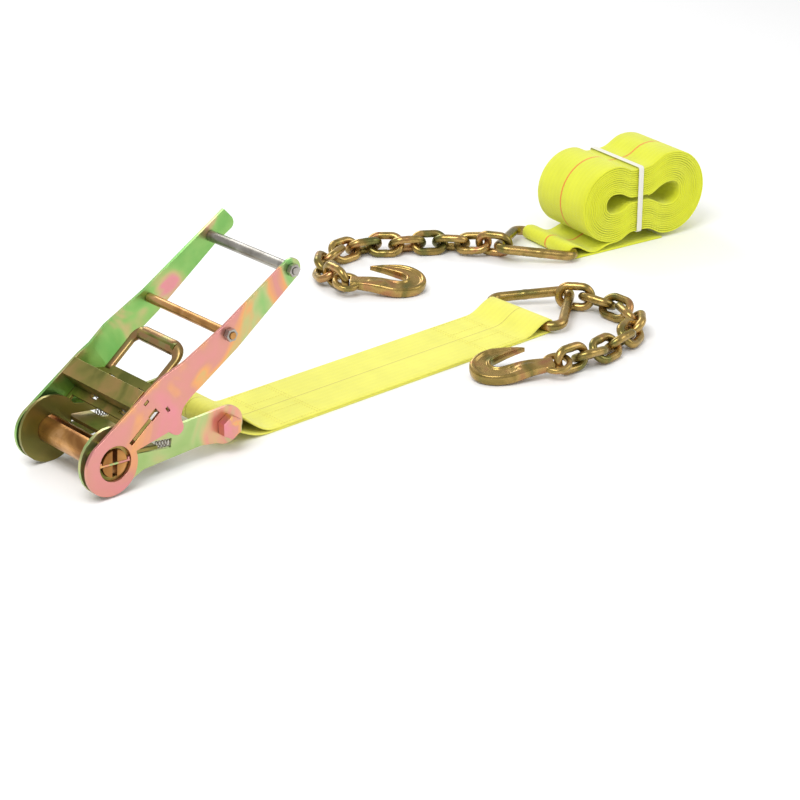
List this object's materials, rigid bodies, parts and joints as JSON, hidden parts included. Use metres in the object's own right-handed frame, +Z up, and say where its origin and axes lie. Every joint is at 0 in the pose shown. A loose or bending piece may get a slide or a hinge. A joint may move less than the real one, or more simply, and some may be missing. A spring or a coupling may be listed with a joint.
{
  "type": "ratchet tie-down strap with chain anchors",
  "caption": "Wide-handled ratchet tie-down: short sewn strap with delta ring, chain and grab hook, and a rolled long strap with its own delta ring, chain and grab hook",
  "frame": {"origin": "middle of the kit's footprint, on the floor it lies on", "axes": "+X along the short strap away from the ratchet, +Y away from the base bolt's head, +Z up"},
  "size_m": [1.131, 0.4922, 0.2233],
  "materials": {
    "zinc_green": "iridescent yellow-zinc plated steel, greener",
    "zinc_pink": "iridescent yellow-zinc plated steel",
    "copper_tone": "copper-toned plated bar",
    "zinc_gold": "dark gold zinc plated steel",
    "grip_steel": "bare steel grey",
    "webbing_yellow": "woven polyester, bright yellow",
    "chain_gold": "bronze-gold zinc plated chain steel",
    "band_white": "white elastic band"
  },
  "bodies": {
    "frame": {"frame_plate_near": "zinc_green", "frame_plate_far": "zinc_green", "base_bolt": "zinc_pink", "base_nut": "zinc_pink", "spacer_tube": "copper_tone", "stop_spring_near": "grip_steel", "stop_spring_far": "grip_steel"},
    "stop_pawl": {"stop_pawl": "zinc_gold"},
    "spindle": {"ratchet_wheel_near": "zinc_gold", "ratchet_wheel_far": "zinc_gold", "spindle_bar_upper": "copper_tone", "spindle_bar_lower": "copper_tone", "retaining_pin_near": "zinc_pink", "retaining_pin_far": "zinc_pink"},
    "lever": {"lever_plate_near": "zinc_pink", "lever_plate_far": "zinc_pink", "bridge_channel": "zinc_gold", "mid_bar": "copper_tone", "mid_bar_nut_near": "grip_steel", "mid_bar_nut_far": "grip_steel", "grip_bar": "grip_steel", "grip_bar_nut_near": "grip_steel", "grip_bar_nut_far": "grip_steel", "drive_spring_near": "grip_steel", "drive_spring_far": "grip_steel"},
    "drive_pawl": {"drive_pawl": "zinc_gold"},
    "short_strap": {"short_strap": "webbing_yellow"},
    "short_delta_ring": {"short_delta_ring": "chain_gold"},
    "long_strap": {"long_strap": "webbing_yellow", "elastic_band": "band_white"},
    "long_delta_ring": {"long_delta_ring": "chain_gold"},
    "short_grab_hook": {"short_grab_hook": "chain_gold"},
    "long_grab_hook": {"long_grab_hook": "chain_gold"},
    "short_link_1": {"short_link_1": "chain_gold"},
    "short_link_2": {"short_link_2": "chain_gold"},
    "short_link_3": {"short_link_3": "chain_gold"},
    "short_link_4": {"short_link_4": "chain_gold"},
    "short_link_5": {"short_link_5": "chain_gold"},
    "short_link_6": {"short_link_6": "chain_gold"},
    "short_link_7": {"short_link_7": "chain_gold"},
    "short_link_8": {"short_link_8": "chain_gold"},
    "short_link_9": {"short_link_9": "chain_gold"},
    "short_link_10": {"short_link_10": "chain_gold"},
    "long_link_1": {"long_link_1": "chain_gold"},
    "long_link_2": {"long_link_2": "chain_gold"},
    "long_link_3": {"long_link_3": "chain_gold"},
    "long_link_4": {"long_link_4": "chain_gold"},
    "long_link_5": {"long_link_5": "chain_gold"},
    "long_link_6": {"long_link_6": "chain_gold"},
    "long_link_7": {"long_link_7": "chain_gold"},
    "long_link_8": {"long_link_8": "chain_gold"},
    "long_link_9": {"long_link_9": "chain_gold"},
    "long_link_10": {"long_link_10": "chain_gold"},
    "long_link_11": {"long_link_11": "chain_gold"},
    "long_link_12": {"long_link_12": "chain_gold"}
  },
  "joints": [
    {"name": "spindle_turn", "type": "hinge", "parent": "frame", "child": "spindle", "pos_m": [-0.52747, -0.07482, 0.038], "axis": [0, 1, 0], "continuous": true},
    {"name": "lever_stroke", "type": "hinge", "parent": "frame", "child": "lever", "pos_m": [-0.52747, -0.07482, 0.038], "axis": [0, 1, 0], "range_deg": [-120, 10]},
    {"name": "drive_pawl_slide", "type": "slide", "parent": "lever", "child": "drive_pawl", "axis": [0.788, 0, 0.6157], "range_m": [-0.0035, 0.006], "stiffness_N_per_m": 700, "deforming": ["drive_spring_near", "drive_spring_far"]},
    {"name": "stop_pawl_slide", "type": "slide", "parent": "frame", "child": "stop_pawl", "axis": [0.9903, 0, -0.1392], "range_m": [0, 0.005], "stiffness_N_per_m": 700, "deforming": ["stop_spring_near", "stop_spring_far"]},
    {"name": "short_strap_swing", "type": "hinge", "parent": "frame", "child": "short_strap", "pos_m": [-0.37347, -0.07482, 0.033], "axis": [0, 1, 0], "range_deg": [-30, 0]},
    {"name": "long_strap_away", "type": "slide", "parent": "frame", "child": "long_strap", "axis": [0, 0, 1], "range_m": [0, 0.3]},
    {"name": "short_ring_swing", "type": "hinge", "parent": "short_strap", "child": "short_delta_ring", "pos_m": [0.12753, -0.07482, 0.00955], "axis": [0, -1, 0], "range_deg": [0, 40]},
    {"name": "short_link_1_swing", "type": "hinge", "parent": "short_delta_ring", "child": "short_link_1", "pos_m": [0.20305, -0.08662, 0.0182], "axis": [0.8061, 0.5857, 0.0845], "range_deg": [-8, 8]},
    {"name": "short_link_2_swing", "type": "hinge", "parent": "short_link_1", "child": "short_link_2", "pos_m": [0.21939, -0.10911, 0.0182], "axis": [0.1405, 0.1021, 0.9848], "range_deg": [-3, 3]},
    {"name": "short_link_3_swing", "type": "hinge", "parent": "short_link_2", "child": "short_link_3", "pos_m": [0.22845, -0.13687, 0.01316], "axis": [0.7944, 0.3494, -0.4968], "range_deg": [-3, 3]},
    {"name": "short_link_4_swing", "type": "hinge", "parent": "short_link_3", "child": "short_link_4", "pos_m": [0.22403, -0.16702, 0.0144], "axis": [0.7067, -0.0247, 0.7071], "range_deg": [-3, 3]},
    {"name": "short_link_5_swing", "type": "hinge", "parent": "short_link_4", "child": "short_link_5", "pos_m": [0.20985, -0.19338, 0.0144], "axis": [0.646, -0.2876, -0.7071], "range_deg": [-3, 3]},
    {"name": "short_link_6_swing", "type": "hinge", "parent": "short_link_5", "child": "short_link_6", "pos_m": [0.18683, -0.21252, 0.0144], "axis": [0.4912, -0.5086, 0.7071], "range_deg": [-3, 3]},
    {"name": "short_link_7_swing", "type": "hinge", "parent": "short_link_6", "child": "short_link_7", "pos_m": [0.1588, -0.22277, 0.0144], "axis": [0.2876, -0.646, -0.7071], "range_deg": [-3, 3]},
    {"name": "short_link_8_swing", "type": "hinge", "parent": "short_link_7", "child": "short_link_8", "pos_m": [0.12942, -0.22649, 0.0144], "axis": [0.1228, -0.6964, 0.7071], "range_deg": [-3, 3]},
    {"name": "short_link_9_swing", "type": "hinge", "parent": "short_link_8", "child": "short_link_9", "pos_m": [0.10027, -0.23038, 0.0144], "axis": [0.0984, -0.7002, -0.7071], "range_deg": [-3, 3]},
    {"name": "short_link_10_swing", "type": "hinge", "parent": "short_link_9", "child": "short_link_10", "pos_m": [0.07107, -0.23031, 0.01784], "axis": [0.0868, -0.8635, 0.4968], "range_deg": [-3, 3]},
    {"name": "short_hook_swing", "type": "hinge", "parent": "short_link_10", "child": "short_grab_hook", "pos_m": [0.04174, -0.22642, 0.01738], "axis": [-0.0121, -0.1732, -0.9848], "range_deg": [-4, 4]},
    {"name": "long_ring_swing", "type": "hinge", "parent": "long_strap", "child": "long_delta_ring", "pos_m": [0.34053, 0.08318, 0.00955], "axis": [0.1392, 0.9903, 0], "range_deg": [0, 40]},
    {"name": "long_link_1_swing", "type": "hinge", "parent": "long_delta_ring", "child": "long_link_1", "pos_m": [0.2674, 0.10539, 0.0182], "axis": [-0.8631, -0.4983, 0.0823], "range_deg": [-8, 8]},
    {"name": "long_link_2_swing", "type": "hinge", "parent": "long_link_1", "child": "long_link_2", "pos_m": [0.2535, 0.12946, 0.0182], "axis": [-0.1504, -0.0868, 0.9848], "range_deg": [-3, 3]},
    {"name": "long_link_3_swing", "type": "hinge", "parent": "long_link_2", "child": "long_link_3", "pos_m": [0.23764, 0.15394, 0.01316], "axis": [-0.6863, -0.5312, -0.4968], "range_deg": [-3, 3]},
    {"name": "long_link_4_swing", "type": "hinge", "parent": "long_link_3", "child": "long_link_4", "pos_m": [0.21764, 0.17552, 0.0144], "axis": [-0.5255, -0.4731, 0.7071], "range_deg": [-3, 3]},
    {"name": "long_link_5_swing", "type": "hinge", "parent": "long_link_4", "child": "long_link_5", "pos_m": [0.19231, 0.19087, 0.0144], "axis": [-0.3954, -0.5862, -0.7071], "range_deg": [-3, 3]},
    {"name": "long_link_6_swing", "type": "hinge", "parent": "long_link_5", "child": "long_link_6", "pos_m": [0.16727, 0.20627, 0.0144], "axis": [-0.3747, -0.5997, 0.7071], "range_deg": [-3, 3]},
    {"name": "long_link_7_swing", "type": "hinge", "parent": "long_link_6", "child": "long_link_7", "pos_m": [0.14563, 0.22631, 0.0144], "axis": [-0.4639, -0.5337, -0.7071], "range_deg": [-3, 3]},
    {"name": "long_link_8_swing", "type": "hinge", "parent": "long_link_7", "child": "long_link_8", "pos_m": [0.11689, 0.23451, 0.0144], "axis": [-0.2418, -0.6645, 0.7071], "range_deg": [-3, 3]},
    {"name": "long_link_9_swing", "type": "hinge", "parent": "long_link_8", "child": "long_link_9", "pos_m": [0.08713, 0.23124, 0.0144], "axis": [0.0247, -0.7067, -0.7071], "range_deg": [-3, 3]},
    {"name": "long_link_10_swing", "type": "hinge", "parent": "long_link_9", "child": "long_link_10", "pos_m": [0.06052, 0.21763, 0.0144], "axis": [0.2763, -0.6509, 0.7071], "range_deg": [-3, 3]},
    {"name": "long_link_11_swing", "type": "hinge", "parent": "long_link_10", "child": "long_link_11", "pos_m": [0.04056, 0.19539, 0.0144], "axis": [0.4912, -0.5086, -0.7071], "range_deg": [-3, 3]},
    {"name": "long_link_12_swing", "type": "hinge", "parent": "long_link_11", "child": "long_link_12", "pos_m": [0.0284, 0.16852, 0.01784], "axis": [0.8032, -0.3288, 0.4968], "range_deg": [-3, 3]},
    {"name": "long_hook_swing", "type": "hinge", "parent": "long_link_12", "child": "long_grab_hook", "pos_m": [0.02853, 0.13858, 0.01696], "axis": [0.1727, -0.0182, -0.9848], "range_deg": [-4, 4]}
  ]
}
